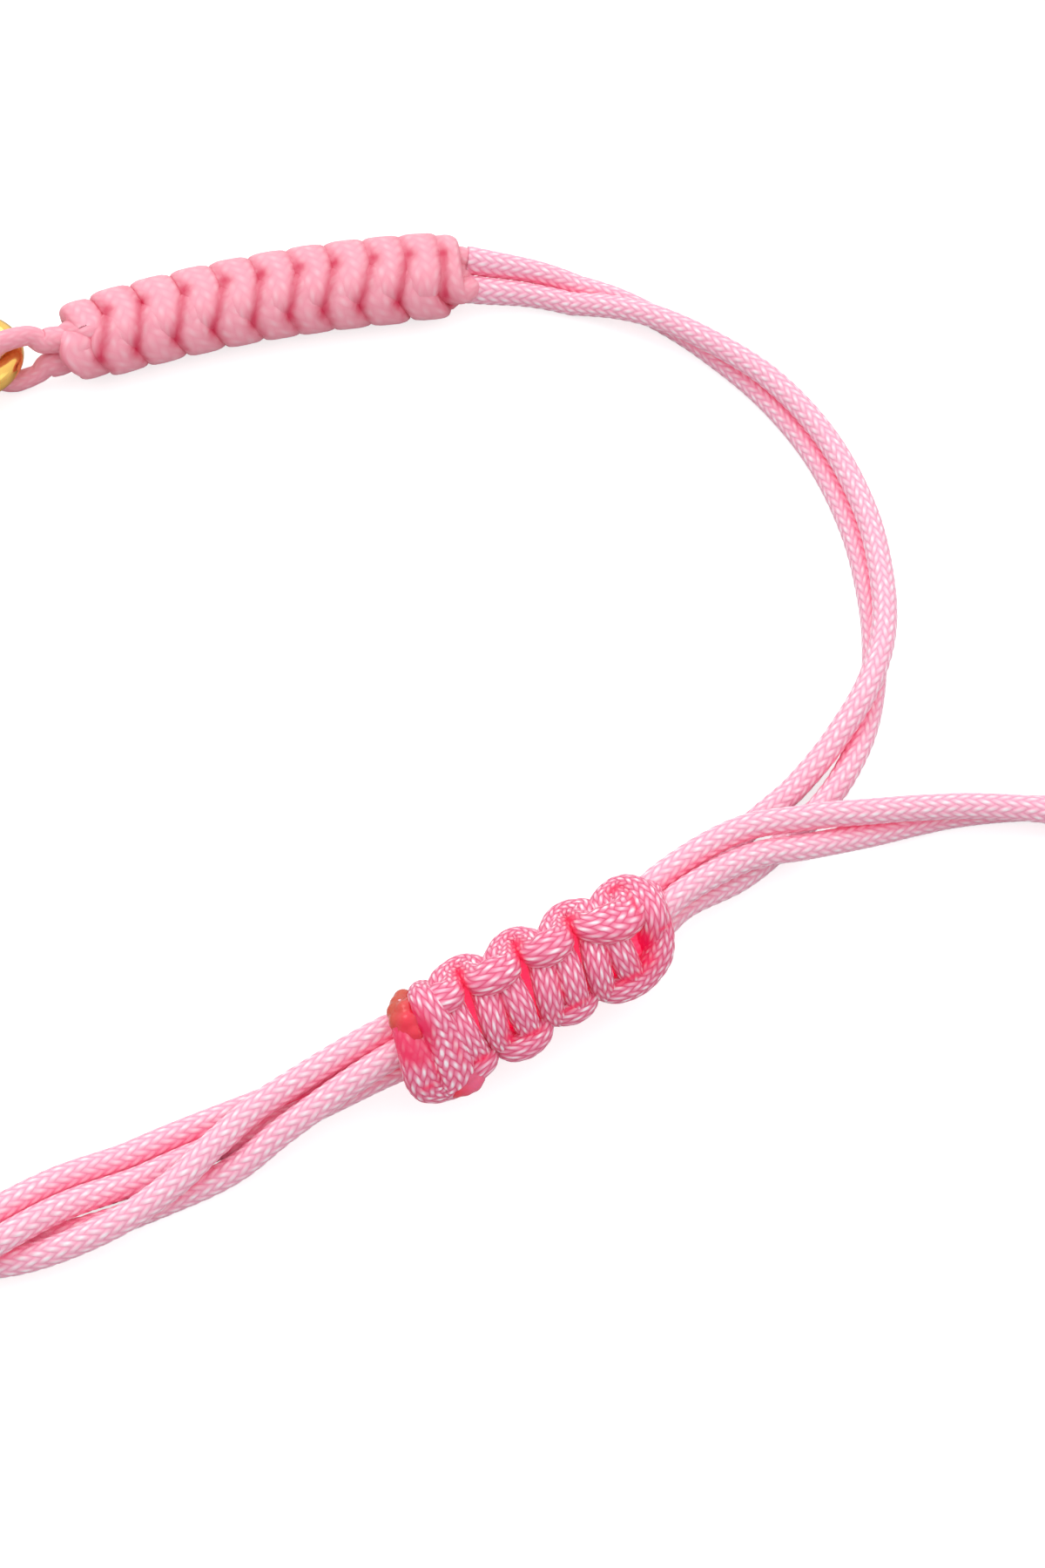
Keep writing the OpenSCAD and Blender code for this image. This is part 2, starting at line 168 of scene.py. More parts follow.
# Then it comes back round behind and over them, from the right-hand end to the left-hand end.
BARS = [
    (10.9, -1.2, 0.5, 0.95), (11.0, -1.5, -0.5, 1.0), (11.3, -1.0, -1.35, 1.0), (11.6, -0.2, -1.45, 1.0),
    (11.8, 0.5, -1.0, 1.0), (11.9, 0.9, -0.3, 1.0), (11.95, 0.85, 0.5, 1.0), (11.92, 0.5, 1.1, 1.0),
    (11.85, 0.05, 1.55, 1.0), (11.75, -0.4, 1.75, 1.0), (11.6, -0.9, 1.75, 1.0), (11.2, -1.5, 1.65, 1.15),
    (10.75, -1.85, 1.55, 1.2), (10.1, -2.15, 1.45, 1.1), (9.4, -2.2, 1.45, 1.05),
    (8.85, -2.08, 1.35, 1.0), (8.6, -1.85, 0.95, 1.0), (8.6, -1.7, 0.2, 1.0), (8.72, -1.5, -0.75, 1.0),
    (9.0, -1.0, -1.35, 1.0), (9.55, -0.3, -1.45, 1.0), (10.15, 0.5, -1.15, 1.0),
    (10.58, 1.0, -0.4, 0.95), (10.75, 1.1, 0.45, 0.9), (10.8, 0.98, 1.2, 0.95), (10.85, 0.62, 1.95, 1.2),
    (10.6, 0.35, 2.4, 1.45), (10.1, 0.28, 2.6, 1.5), (9.5, 0.42, 2.6, 1.4), (9.12, 0.58, 2.4, 1.2),
    (8.93, 0.76, 1.9, 1.0), (8.82, 0.98, 1.2, 0.92), (8.75, 1.1, 0.45, 0.9), (8.58, 1.0, -0.4, 0.95),
    (8.43, 0.4, -1.2, 1.0), (8.29, -0.5, -1.5, 1.0), (8.14, -1.4, -1.15, 1.0), (7.92, -1.6, -0.4, 1.0),
    (7.75, -1.75, 0.5, 1.0), (7.7, -1.8, 1.05, 1.0), (7.45, -2.0, 1.35, 1.0), (7.05, -2.07, 1.45, 1.05),
    (6.65, -2.0, 1.35, 1.0), (6.4, -1.8, 0.95, 1.0), (6.35, -1.65, 0.2, 1.0),
    (6.42, -1.5, -0.75, 1.0), (6.54, -1.1, -1.35, 1.0), (7.03, -0.3, -1.45, 1.0),
    (7.51, 0.5, -1.15, 1.0), (7.86, 1.0, -0.4, 0.95), (8.0, 1.1, 0.45, 0.9), (7.93, 0.98, 1.2, 0.92),
    (7.8, 0.74, 1.9, 1.0), (7.6, 0.58, 2.4, 1.2), (7.15, 0.55, 2.58, 1.3), (6.72, 0.58, 2.4, 1.2),
    (6.52, 0.74, 1.9, 1.0), (6.4, 0.98, 1.2, 0.92), (6.28, 1.1, 0.45, 0.9), (6.2, 1.0, -0.4, 0.95),
    (6.1, 0.4, -1.2, 1.0), (6.0, -0.5, -1.5, 1.0), (5.9, -1.4, -1.15, 1.0), (5.68, -1.65, -0.4, 1.0),
    (5.55, -1.85, 0.5, 1.0), (5.5, -2.0, 1.05, 1.0), (5.25, -2.3, 1.35, 1.0), (4.7, -2.44, 1.45, 1.05),
    (4.15, -2.35, 1.35, 1.0), (3.9, -2.1, 0.95, 1.0), (3.85, -1.8, 0.2, 1.0), (3.9, -1.55, -0.75, 1.0),
    (4.1, -1.1, -1.35, 1.0), (4.6, -0.3, -1.45, 1.0), (5.1, 0.5, -1.15, 1.0), (5.46, 1.0, -0.4, 0.95),
    (5.6, 1.1, 0.45, 0.9), (5.53, 0.98, 1.2, 0.92), (5.4, 0.74, 1.9, 1.0), (5.2, 0.56, 2.4, 1.2),
    (4.7, 0.53, 2.58, 1.3), (4.22, 0.56, 2.4, 1.2), (4.02, 0.74, 1.9, 1.0), (3.9, 0.98, 1.2, 0.92),
    (3.8, 1.1, 0.45, 0.9), (3.73, 1.0, -0.4, 0.95), (3.63, 0.4, -1.2, 1.0), (3.54, -0.5, -1.5, 1.0),
    (3.44, -1.4, -1.15, 1.0), (3.2, -1.6, -0.4, 1.0), (3.05, -1.8, 0.4, 1.0), (3.0, -2.05, 1.0, 0.95),
    (2.8, -2.25, 1.3, 0.95), (2.45, -2.35, 1.3, 1.0), (2.2, -2.25, 0.8, 1.0), (2.1, -1.85, -0.4, 1.0),
    (2.1, -1.1, -1.3, 1.0), (2.4, 0.0, -1.4, 1.0), (2.8, 0.9, -0.6, 1.0), (3.0, 1.1, 0.45, 0.95),
    (2.98, 0.98, 1.2, 0.92), (2.88, 0.76, 1.9, 1.0), (2.7, 0.6, 2.4, 1.2), (2.3, 0.62, 2.45, 1.25),
    (1.95, 0.65, 2.1, 1.1), (1.6, 0.65, 1.7, 1.0)]
# Painted shade in hollows on the knot's front: place along it, height, half length, half height, and how
# deep
HOLLOWS = [
    (3.46, 0.6, 0.17, 0.9, 1.0), (3.5, 1.22, 0.3, 0.22, 1.0), (5.96, 0.75, 0.17, 0.75, 1.0),
    (6.1, 1.25, 0.32, 0.2, 1.0), (8.36, 0.7, 0.17, 0.65, 1.0), (8.5, 1.2, 0.36, 0.2, 1.0),
    (10.75, 1.5, 0.4, 0.15, 0.9), (11.12, 0.7, 0.1, 0.8, 0.8), (9.7, -1.93, 1.0, 0.15, 0.9),
    (10.85, -0.9, 0.5, 0.5, 1.0), (10.6, -1.6, 0.5, 0.4, 0.85), (4.2, -1.9, 0.22, 0.25, 0.95),
    (5.15, -2.15, 0.5, 0.13, 0.9), (7.1, -1.93, 0.7, 0.12, 0.9), (2.85, -2.15, 0.4, 0.15, 0.9),
    (0.45, -2.2, 0.4, 0.12, 0.8), (1.0, -1.7, 0.09, 0.5, 0.7), (4.58, -0.45, 0.09, 0.35, 0.55),
    (4.48, -1.0, 0.1, 0.4, 0.7), (4.38, -1.55, 0.12, 0.35, 0.85), (7.02, -0.5, 0.09, 0.4, 0.55),
    (6.88, -1.2, 0.1, 0.5, 0.7), (9.28, -0.6, 0.09, 0.4, 0.55), (9.18, -1.3, 0.1, 0.45, 0.7),
    (2.15, -1.5, 0.1, 0.6, 0.6),
    (11.8, -0.75, 0.45, 0.1, 0.8)]


def place_camera():
    data = bpy.data.cameras.new("camera")
    data.lens = 66.52
    data.sensor_width = 36
    data.clip_start, data.clip_end = 0.005, 10
    camera = bpy.data.objects.new("camera", data)
    bpy.context.scene.collection.objects.link(camera)
    camera.location = Vector(EYE * MM)
    camera.rotation_euler = Vector(TARGET - EYE).to_track_quat("-Z", "Y").to_euler()
    bpy.context.scene.camera = camera


def unit(vectors):
    return vectors / np.linalg.norm(vectors, axis=-1, keepdims=True)


def spline(rows, steps=24):
    """A smooth line through the rows, running straight at its two ends."""
    rows = np.asarray(rows, float)
    rows = np.vstack([2 * rows[0] - rows[1], rows, 2 * rows[-1] - rows[-2]])
    t = np.arange(steps)[:, None] / steps
    spans = [0.5 * (2 * b + (c - a) * t + (2 * a - 5 * b + 4 * c - d) * t ** 2
                    + (3 * b - 3 * c + d - a) * t ** 3)
             for a, b, c, d in zip(rows, rows[1:], rows[2:], rows[3:])]
    return np.vstack(spans + [rows[-2:-1]])


def even(route, step):
    """The same route with its points an even step apart."""
    at = np.concatenate([[0], np.cumsum(np.linalg.norm(np.diff(route[:, :3], axis=0), axis=1))])
    want = np.linspace(0, at[-1], max(2, int(round(at[-1] / step)) + 1))
    return np.column_stack([np.interp(want, at, column) for column in route.T])


def ramp(values, start, end):
    """0 before start and 1 past end, rising evenly between them, whichever of the two is lower."""
    return np.clip((values - start) / (end - start), 0, 1)


def two_strands(pair):
    """The routes of a pair's first and second strand."""
    line = spline(pair)
    way = unit(np.gradient(line[:, :2], axis=0))
    left = np.column_stack([-way[:, 1], way[:, 0], np.zeros(len(way))])
    lift, half, turn = np.maximum(line[:, 2], 0), line[:, 3:4], np.radians(line[:, 4:5])
    middle = np.column_stack([line[:, :2], CORD_R + lift + (half * np.abs(np.sin(turn)))[:, 0]])
    offset = half * (left * np.cos(turn) + UP * np.sin(turn))
    return middle + offset, middle - offset


def drawn_back(route, reach):
    """The route with its start drawn back by reach, into the knot that it comes out of."""
    return np.vstack([route[0] - reach * unit(route[1] - route[0]), route])


def braid_height(along, around, yarns):
    """Height of the braid from 0 in a groove to 1 on a yarn; along in lays, around in turns."""
    u, v = yarns * (around + along), yarns * (around - along)
    k = (np.floor(u) + np.floor(v)) % 4
    leans_one_way = k < 2
    across = np.where(leans_one_way, u % 1, v % 1)
    over = np.where(leans_one_way, (k + v % 1) / 2, (k - 2 + u % 1) / 2)
    return np.sin(np.pi * across) ** 0.6 * (0.45 + 0.55 * np.sin(np.pi * over) ** 0.7)


def untwisted(way):
    """Directions across a route that turn with it and never twist round it."""
    side = np.empty_like(way)
    start = np.cross(way[0], UP)
    if np.linalg.norm(start) < 0.1:
        start = np.cross(way[0], (1.0, 0.0, 0.0))
    side[0] = unit(start)
    for i in range(1, len(way)):
        side[i] = unit(side[i - 1] - way[i] * side[i - 1].dot(way[i]))
    return side


def squeezed(offset, way, toward, width):
    """The offsets from the cord's middle where it is squeezed into a tape that lies along toward, and
    how near each is to the tape's edge."""
    wide = toward - way * np.sum(toward * way, axis=1, keepdims=True)
    much = np.minimum(np.linalg.norm(wide, axis=1, keepdims=True), 1)
    wide = wide / np.maximum(much, 1e-6)
    thin = np.cross(way, wide)
    across = np.sum(offset * wide, axis=1, keepdims=True)
    through = np.sum(offset * thin, axis=1, keepdims=True)
    more = (width[:, None] - 1) * much ** 2
    power = 2 + 1.7 * np.clip(more, 0, 1)
    size = np.sqrt(across ** 2 + through ** 2)
    boxy = (np.abs(across / size) ** power + np.abs(through / size) ** power) ** (-1 / power)
    edge = ramp(np.abs(across / size) * boxy, 0.72, 0.97) * ramp(more, 0, 0.5)
    return boxy * (wide * across * (1 + more) + thin * through * (1 - 0.22 * more)), edge[:, 0]


def flat_sheet(rows, sides):
    """A sheet to roll into a tube, and for each of its points the row along it and, from 0 to 1, the
    place across it."""
    bm = bmesh.new()
    bmesh.ops.create_grid(bm, x_segments=rows - 1, y_segments=sides, size=1)
    mesh = bpy.data.meshes.new("cord part")
    bm.to_mesh(mesh)
    bm.free()
    sheet = np.empty(len(mesh.vertices) * 3, np.float32)
    mesh.vertices.foreach_get("co", sheet)
    sheet = sheet.reshape(-1, 3)
    return mesh, np.rint((sheet[:, 0] + 1) / 2 * (rows - 1)).astype(int), (sheet[:, 1] + 1) / 2


def lay_weave(mesh, along, around):
    """The cord's own UV map: lays along it and turns round it."""
    corners = np.empty(len(mesh.loops), np.int32)
    mesh.loops.foreach_get("vertex_index", corners)
    weave = mesh.uv_layers.new(name="weave")
    weave.data.foreach_set("uv", np.column_stack([along, around])[corners].astype(np.float32).ravel())


def mark(mesh, name, values):
    """A value at each point, which the cord's material reads."""
    attribute = mesh.attributes.new(name, "FLOAT", "POINT")
    attribute.data.foreach_set("value", values.astype(np.float32))


def closed_tube(mesh, around):
    """The rolled sheet with its seam joined and its two ends filled."""
    bm = bmesh.new()
    bm.from_mesh(mesh)
    bpy.data.meshes.remove(mesh)
    bm.verts.ensure_lookup_table()
    seam = [bm.verts[j] for j in np.nonzero((around < 1e-4) | (around > 1 - 1e-4))[0]]
    bmesh.ops.remove_doubles(bm, verts=seam, dist=1e-7)
    bmesh.ops.holes_fill(bm, edges=[e for e in bm.edges if e.is_boundary], sides=0)
    bmesh.ops.recalc_face_normals(bm, faces=bm.faces)
    part = bpy.data.meshes.new("cord part")
    bm.to_mesh(part)
    bm.free()
    return part


def braided_cord(route, sides, step, phase=0.0, toward=None, tips=(0.0, 0.0), shade_of=None,
                 relief=YARN_DEPTH, edge_shade=0.0, melt_of=None, yarns=YARNS, lay=LAY):
    """One braided cord: a sheet rolled round the route into a tube, with its yarns raised.

    A fourth column of the route is the cord's width where it is squeezed, toward gives the direction
    that it is wide in, and a fifth column is its girth. tips are the lengths over which its ends
    close. The depth function gives each point's painted shade, deep in a knot or between turns, the
    edge depth how much painted shade a squeezed cord's edges get, and melt_of how far a point has melted.
    """
    route = even(route, step)
    n = len(route)
    mesh, i, around = flat_sheet(n, sides)
    along = i * step / lay + phase

    line = route[:, :3]
    way = unit(np.gradient(line, axis=0))
    side = untwisted(way)
    other = np.cross(way, side)
    angle = 2 * np.pi * around[:, None]
    reach = CORD_R + 0.01 - relief * (1 - braid_height(along, around, yarns))
    if route.shape[1] > 4:
        reach = reach * route[i, 4]
    for distance, tip in ((i * step, tips[0]), ((n - 1 - i) * step, tips[1])):
        if tip:
            reach = reach * np.sqrt(np.maximum(1 - np.maximum(1 - distance / tip, 0) ** 2, 0.02))
    offset = reach[:, None] * (side[i] * np.cos(angle) + other[i] * np.sin(angle))
    edge = np.zeros(len(i))
    if toward is not None:
        offset, edge = squeezed(offset, way[i], toward(line, way)[i], route[i, 3])
    points = line[i] + offset
    mesh.vertices.foreach_set("co", (points * MM).astype(np.float32).ravel())

    none = np.zeros(len(points))
    lay_weave(mesh, along, around)
    # The deep attribute carries the painted shade, the melt attribute the melted cord's colour
    mark(mesh, "deep", np.maximum(shade_of(points), edge_shade * edge) if shade_of else none)
    mark(mesh, "melt", melt_of(points) if melt_of else none)
    return closed_tube(mesh, around)


def add_piece(name, parts, material, slot, *nodes):
    """One piece from its parts, smooth, riding on the bracelet in place of its plain solids."""
    bm = bmesh.new()
    for part in parts:
        bm.from_mesh(part)
        bpy.data.meshes.remove(part)
    for face in bm.faces:
        face.smooth = True
    mesh = bpy.data.meshes.new(name)
    bm.to_mesh(mesh)
    bm.free()
    mesh.materials.append(material)
    piece = bpy.data.objects.new(name, mesh)
    bpy.context.scene.collection.objects.link(piece)
    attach(piece, "root")
    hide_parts(*nodes)
    return piece


def knot_depth(points):
    """How deep in the sliding knot the points lie, from 0 at its face to 1 at its strands, for painted
    shade.
    """
    rel = points - (*KNOT_AT, KNOT_Z)
    along = rel @ KNOT_WAY
    out = np.linalg.norm(rel - along[:, None] * KNOT_WAY, axis=1)
    return ramp(out, 2.0, 1.4) * ramp(along, -6.5, -5.9) * ramp(along, 5.8, 5.2)


def knot_hollows(points):
    """The painted shade in the knot: the same depth, but little at the knot's back, and painted shade
    at the places on its front where one turn dips under another."""
    s, height, front = knot_rows(points)
    hollow = np.zeros(len(points))
    for at, up, half_l, half_h, much in HOLLOWS:
        spot = much * np.exp(-((s - at) / half_l) ** 2 - ((height - up) / half_h) ** 2)
        hollow = np.maximum(hollow, spot)
    inner = knot_depth(points) * np.maximum(ramp(front, 0.2, 1.0), 0.15)
    return np.maximum(inner, hollow * ramp(front, 0.4, 0.9))


def knot_melt(points):
    """The front of the first turn at the knot's left-hand end, where the melted cord has run."""
    s, height, front = knot_rows(points)
    near = np.hypot((s - 0.7) / 0.95, (height + 0.05) / 1.25)
    return ramp(near, 1.25, 0.85) * ramp(front, 0.8, 1.3)


def between_strands(points, others):
    """How far points on one strand lie in the valley between it and the strands beside it, for painted
    shade.
    """
    tree = KDTree(len(others))
    for i, place in enumerate(others):
        tree.insert(place, i)
    tree.balance()
    apart = np.array([tree.find(p)[2] for p in points])
    return ramp(apart, CORD_R + 0.55, CORD_R - 0.05)


def add_strand(name, route, others, phase, node, material):
    whole = drawn_back(route, 0.4)
    gone = np.concatenate([[0], np.cumsum(np.linalg.norm(np.diff(whole, axis=0), axis=1))])
    # The braid is pushed together, and so thicker, where the strand leaves the band
    girth = 1 + 0.22 * np.exp(-(gone / 2.4) ** 2)
    beside = np.vstack([even(other, 0.1) for other in others])

    # Painted shade deep in the knot and in the valleys between the strands
    def shade_of(points):
        return np.maximum(0.9 * knot_depth(points), 0.45 * between_strands(points, beside))

    part = braided_cord(np.column_stack([whole, np.ones(len(whole)), girth]), sides=48, step=0.08,
                        phase=phase, tips=(0.0, 0.3), shade_of=shade_of)
    piece = add_piece(name, [part], material, "pink_cord", node)
    return piece


def fold_route(place, angle):
    """In under the wire, up inside the ring and back over the wire, as the fold's strands run. The
    last column is the cord's girth: it is stretched thin next to the wire."""
    ring_z = CORD_D + WIRE_D / 2 + PLAY
    orbit = (RING_OD - WIRE_D) / 2
    turn_r = (WIRE_D + CORD_D) / 2 + PLAY
    under, over, end_skew, closing = 0.35, 0.1, 0.2, 0.18
    reach = [(FOLD_L + 1.2, 0, BAND_Z - 0.5, 1.05), (FOLD_L + 0.5, -0.1, BAND_Z - STRAND_HALF, 1.12),
             (FOLD_L, -end_skew, BAND_Z - STRAND_HALF, 1.13),
             (0.77 * FOLD_L, -end_skew, BAND_Z - STRAND_HALF - 0.03, 1.0),
             (FOLD_L / 2, -under, ring_z - turn_r + closing, 0.82)]
    turn = [(turn_r * math.cos(a), (under + over) * f - under, ring_z + turn_r * math.sin(a), 0.9)
            for f, a in ((f, math.radians(-90 - 180 * f)) for f in np.linspace(0, 1, 7))]
    back = [(FOLD_L / 2, 0.28, ring_z + turn_r - closing, 0.85),
            (0.77 * FOLD_L, end_skew, BAND_Z + STRAND_HALF + 0.05, 1.0),
            (FOLD_L, end_skew, BAND_Z + STRAND_HALF, 1.13),
            (FOLD_L + 0.5, 0.1, BAND_Z + STRAND_HALF, 1.12), (FOLD_L + 1.2, 0, BAND_Z + 0.5, 1.05)]
    local = spline(reach + turn + back)
    p, a = math.radians(place), math.radians(angle)
    x, y = local[:, 0], local[:, 1]
    return np.column_stack([RING_AT[0] + orbit * math.cos(p) + x * math.cos(a) - y * math.sin(a),
                            RING_AT[1] + orbit * math.sin(p) + x * math.sin(a) + y * math.cos(a),
                            local[:, 2], np.ones(len(local)), local[:, 3]])


def band_frame(mid, s):
    """Place on a band's mid line, its direction and its left, at the distance s from its start."""
    a, b, c = (np.array(p) for p in mid)
    t = np.asarray(s, float)[:, None] / BAND_L
    point = a * (1 - t) * (1 - 2 * t) + b * 4 * t * (1 - t) + c * t * (2 * t - 1)
    way = unit(a * (4 * t - 3) + b * (4 - 8 * t) + c * (4 * t - 1))
    zero = np.zeros(len(t))
    return (np.column_stack([point, zero]), np.column_stack([way, zero]),
            np.column_stack([-way[:, 1], way[:, 0], zero]))


def loop_rows(places, loop, side, roll, sizes):
    """Rows of one cord's loops down one side of a band: along, to its left, above its middle, width."""
    rows = []
    for k, place in enumerate(places):
        size, narrow = sizes.get(k, (1.0, 1.0))
        grown = size * (0.98 + 0.08 * min(place / 14, 1))
        for ahead, angle, reach, width in loop:
            a = math.radians(angle - side * roll)
            rows.append((place + ahead, side * LOOP_OUT * grown * reach * math.sin(a),
                         LOOP_UP * grown * reach * math.cos(a), 1 + (width - 1) * narrow))
    return rows


def band_routes(mid, roll, strands):
    """The routes of a band's two cords, from the fold to the two strands that leave it."""
    far = loop_rows(FAR_PLACES, FAR_LOOP, 1, roll, {0: (0.9, 0.6)})
    far = [(0.7, 0.1, 0.2, 1.0), (0.95, 0.1, 0.7, 1.1)] + far[3:-1]
    # The last turn comes back over the band's top and down its near side
    far += loop_rows([0], [(18.6, 200, 0.6, 1.0), (18.9, 150, 0.88, 1.15), (19.0, 110, 0.95, 1.25),
                           (19.0, 75, 0.95, 1.35), (18.98, 40, 0.95, 1.4), (19.0, 5, 0.95, 1.45),
                           (19.15, -25, 0.9, 1.45), (19.5, -48, 0.78, 1.3)], 1, roll, {})
    far.append((20.0, -0.85, -0.05, 1.15))
    near = loop_rows(NEAR_PLACES, NEAR_LOOP, -1, roll, {0: (0.86, 0.75), 9: (0.95, 0.95)})
    near = [(0.5, -0.1, -0.62, 1.0), (0.65, 0.05, -0.1, 1.0), (0.85, -0.1, 0.5, 1.05)] + near[2:-1]
    near += [(18.9, -0.9, -0.6, 1.2), (19.4, -0.4, -0.3, 1.1), (19.8, 0.3, 0.1, 1.0)]
    routes = []
    for rows, strand in ((far, strands[0]), (near, strands[1])):
        rows = np.array(rows)
        point, _, left = band_frame(mid, rows[:, 0])
        route = point + left * rows[:, 1:2] + UP * (BAND_Z + 0.05 + rows[:, 2:3])
        out = unit(strand[1] - strand[0])
        route = np.vstack([route, strand[0] - 0.9 * out, strand[0] - 0.4 * out])
        routes.append(spline(np.column_stack([route, np.append(rows[:, 3], (1.0, 1.0))]), 12))
    return routes


def band_slits(s, angle):
    """How much painted shade places on a band get from the slits between its loops; angle is in degrees
    from the top towards the far side, in the band's own roll."""
    near = np.zeros(len(s))
    for far_spot, near_spot in zip(FAR_SPOTS, NEAR_SPOTS):
        # Places along the band, angles and strengths of the painted shade at the slit's corners
        corners = ((far_spot - 0.4, 72, 0.3), (far_spot, 29, 0.9), (near_spot, -34, 1.0),
                   (near_spot + 0.3, -62, 0.7), (near_spot + 0.35, -85, 0.25))
        for (s0, a0, much0), (s1, a1, much1) in zip(corners, corners[1:]):
            run, rise = s1 - s0, (a1 - a0) / 30
            t = np.clip(((s - s0) * run + (angle - a0) / 30 * rise) / (run ** 2 + rise ** 2), 0, 1)
            off = np.hypot(s - s0 - t * run, (angle - a0) / 30 - t * rise)
            middle = 1 - 0.25 * np.sin(np.pi * t)
            near = np.maximum(near, (much0 + (much1 - much0) * t) * middle * np.exp(-(off / 0.28) ** 2))
        for spot, at, tall in ((far_spot, 28, 12), (near_spot, -38, 18)):
            near = np.maximum(near, np.exp(-((s - spot) / 0.35) ** 2 - ((angle - at) / tall) ** 2))
    return near


def add_band(name, mid, roll, strands, node, material):
    middle, way, left = band_frame(mid, np.linspace(0, BAND_L, 200))

    def nearest(points):
        return np.linalg.norm(points[:, None, :2] - middle[None, :, :2], axis=2).argmin(axis=1)

    # Painted shade in the inner parts of the loops and in the slits between them
    def shade_of(points):
        near = nearest(points)
        aside = np.sum((points - middle[near]) * left[near], axis=1) / (LOOP_OUT + 0.45)
        above = (points[:, 2] - BAND_Z - 0.05) / (LOOP_UP + 0.45)
        s = near / 199 * BAND_L
        inside = ramp(s, 0.6, 1.8) * ramp(s, 19.9, 19.1)
        slits = band_slits(s, np.degrees(np.arctan2(aside, above)) + roll)
        return np.maximum(ramp(np.hypot(aside, above), 0.95, 0.73) * inside, slits)

    parts = [braided_cord(route, sides=36, step=0.11, phase=0.37 * count, shade_of=shade_of,
                          toward=lambda line, _: way[nearest(line)], relief=0.02, edge_shade=0.4)
             for count, route in enumerate(band_routes(mid, roll, strands))]
    return add_piece(name, parts, material, "pink_cord", node)


def knot_axes():
    """The knot's own directions: along it, up across the face that the viewer sees, to the viewer."""
    to_viewer = unit(EYE - KNOT_FACE_AT)
    return np.array([KNOT_WAY, unit(np.cross(KNOT_WAY, -to_viewer)), to_viewer])


def knot_place(rows):
    """World places of rows in the knot: distance from its left-hand end, height across the face that
    the viewer sees, and distance towards the viewer."""
    rows = np.array(rows, float)[:, :3] - (KNOT_L / 2, 0, 0)
    return KNOT_FACE_AT + rows @ knot_axes()


def knot_rows(points):
    """The other way: distance along, height and distance towards the viewer of world places."""
    rows = (points - KNOT_FACE_AT) @ np.linalg.inv(knot_axes())
    return rows[:, 0] + KNOT_L / 2, rows[:, 1], rows[:, 2]


def round_the_knot(line, way):
    """At each point, the direction along the knot's surface and across the cord."""
    rel = line - (*KNOT_AT, KNOT_Z)
    outward = unit(rel - (rel @ KNOT_WAY)[:, None] * KNOT_WAY)
    return unit(np.cross(way, outward))


def add_sliding_knot(material):
    rows = np.array(LEGS + BARS)
    route = spline(np.column_stack([knot_place(rows), rows[:, 3]]), 12)
    part = braided_cord(route, sides=48, step=0.085, shade_of=knot_hollows, melt_of=knot_melt,
                        tips=(0.3, 0.4), toward=round_the_knot, relief=0.045, edge_shade=0.3,
                        yarns=KNOT_YARNS, lay=KNOT_LAY)
    return add_piece("tying_cord", [part], material, "pink_cord", "sliding_knot")


def add_sealed_end(material):
    """The melted ends: lumps run together over the knot's left end."""
    bm = bmesh.new()
    # Each lump's distance along the knot, height, distance towards the viewer, and radius
    lumps = [(0.6, 0.1, 2.15, 0.42), (0.55, 0.55, 1.95, 0.46), (0.62, 0.9, 1.65, 0.46),
             (0.82, 1.12, 1.4, 0.44), (1.02, 1.27, 1.2, 0.42), (0.85, 0.4, 2.3, 0.46),
             (0.95, 0.8, 2.05, 0.46), (1.15, 0.9, 1.9, 0.4), (0.7, -0.35, 2.2, 0.42),
             (0.95, -0.1, 2.4, 0.4), (1.2, 0.3, 2.4, 0.4), (1.3, -0.2, 2.35, 0.34), (0.9, -0.65, 2.2, 0.36),
             (1.35, -2.72, 1.3, 0.4), (1.7, -2.8, 1.3, 0.42), (2.05, -2.8, 1.3, 0.42),
             (2.3, -2.7, 1.35, 0.36), (1.95, -2.45, 1.55, 0.4), (2.25, -2.4, 1.45, 0.34)]
    for *row, size in lumps:
        ball = bmesh.ops.create_icosphere(bm, subdivisions=3, radius=size * MM)
        bmesh.ops.translate(bm, verts=ball["verts"], vec=Vector(knot_place([row])[0] * MM))
    mesh = bpy.data.meshes.new("lumps")
    bm.to_mesh(mesh)
    bm.free()
    lump = bpy.data.objects.new("lumps", mesh)
    bpy.context.scene.collection.objects.link(lump)
    remesh = lump.modifiers.new("run together", "REMESH")
    remesh.mode, remesh.voxel_size = "VOXEL", 0.05 * MM
    smooth = lump.modifiers.new("smooth", "SMOOTH")
    smooth.factor, smooth.iterations = 0.5, 26
    made = bpy.data.meshes.new_from_object(lump.evaluated_get(bpy.context.evaluated_depsgraph_get()))
    bpy.data.objects.remove(lump)
    bm = bmesh.new()
    bm.from_mesh(made)
    bmesh.ops.recalc_face_normals(bm, faces=bm.faces)
    bm.to_mesh(made)
    bm.free()
    return add_piece("melted_ends", [made], material, "melted_cord", "sealed_end")


def linear(r, g, b):
    """A colour of the screen, 0 to 255, as the light that a surface gives back."""
    return tuple((c / 255 / 12.92) if c <= 10 else ((c / 255 + 0.055) / 1.055) ** 2.4
                 for c in (r, g, b)) + (1.0,)


def calc(tree, operation, *values):
    node = tree.nodes.new("ShaderNodeMath")
    node.operation = operation
    for socket, value in zip(node.inputs, values):
        if isinstance(value, (int, float)):
            socket.default_value = value
        else:
            tree.links.new(value, socket)
    return node.outputs[0]


def mixed(tree, factor, first, second):
    node = tree.nodes.new("ShaderNodeMix")
    node.data_type = "RGBA"
    for socket, value in ((node.inputs[0], factor), (node.inputs[6], first), (node.inputs[7], second)):
        if isinstance(value, (int, float, tuple)):
            socket.default_value = value
        else:
            tree.links.new(value, socket)
    return node.outputs[2]


def noise(tree, vector, scale, detail=2.0):
    node = tree.nodes.new("ShaderNodeTexNoise")
    node.inputs["Scale"].default_value = scale
    node.inputs["Detail"].default_value = detail
    tree.links.new(vector, node.inputs["Vector"])
    return node.outputs["Fac"]


